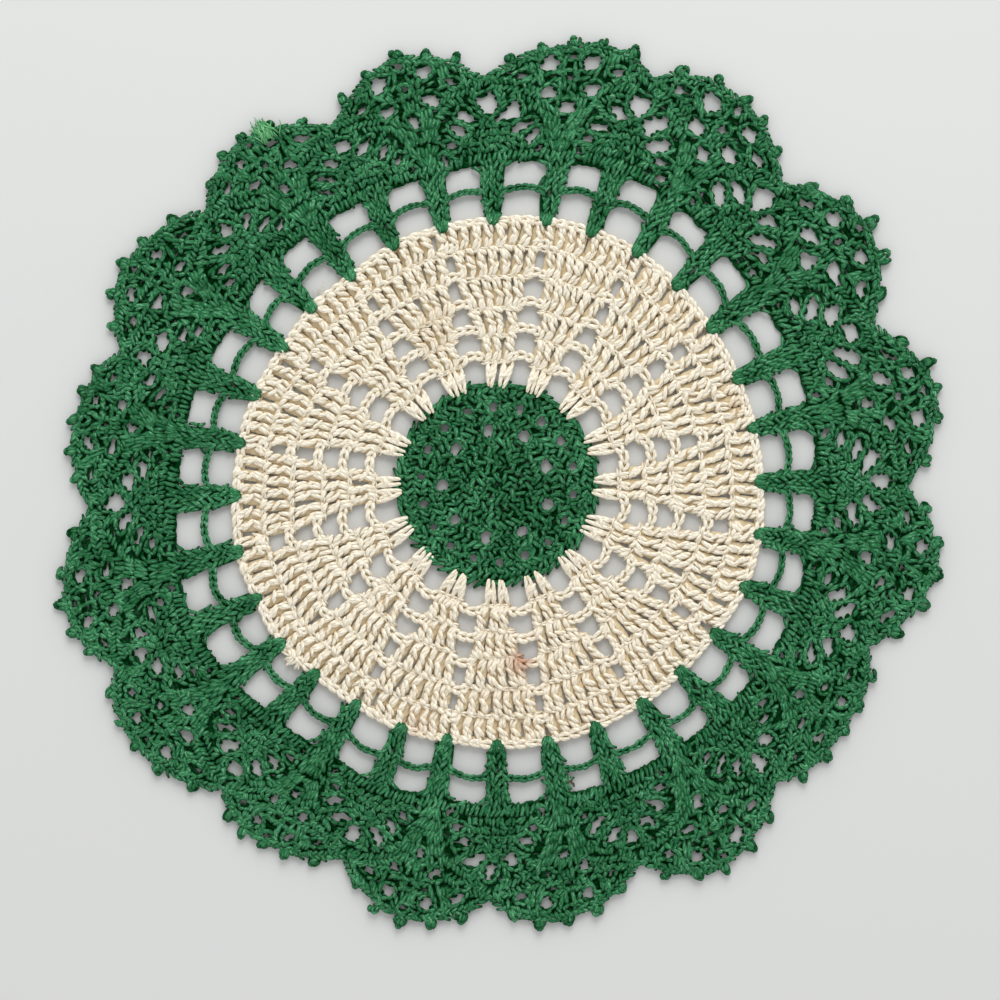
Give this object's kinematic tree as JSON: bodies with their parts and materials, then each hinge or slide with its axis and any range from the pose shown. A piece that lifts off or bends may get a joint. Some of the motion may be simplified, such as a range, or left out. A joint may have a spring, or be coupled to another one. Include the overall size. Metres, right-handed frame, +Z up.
{
  "type": "lace doily",
  "caption": "Round crocheted lace doily lying flat: green medallion, cream wedge ring and green scalloped border with picots.",
  "frame": {"origin": "middle of the underside's bounding box, on the surface that the doily lies on", "axes": "+Z up through the doily's thickness, +X and +Y in its plane, as seen from above with +Y up the picture"},
  "size_m": [0.2198, 0.2212, 0.0023],
  "materials": {
    "green_thread": "matt cotton crochet thread",
    "cream_thread": "matt cotton crochet thread"
  },
  "bodies": {
    "root": {"centre_medallion": "green_thread", "wedge_ring": "cream_thread", "scallop_border": "green_thread"}
  },
  "joints": []
}
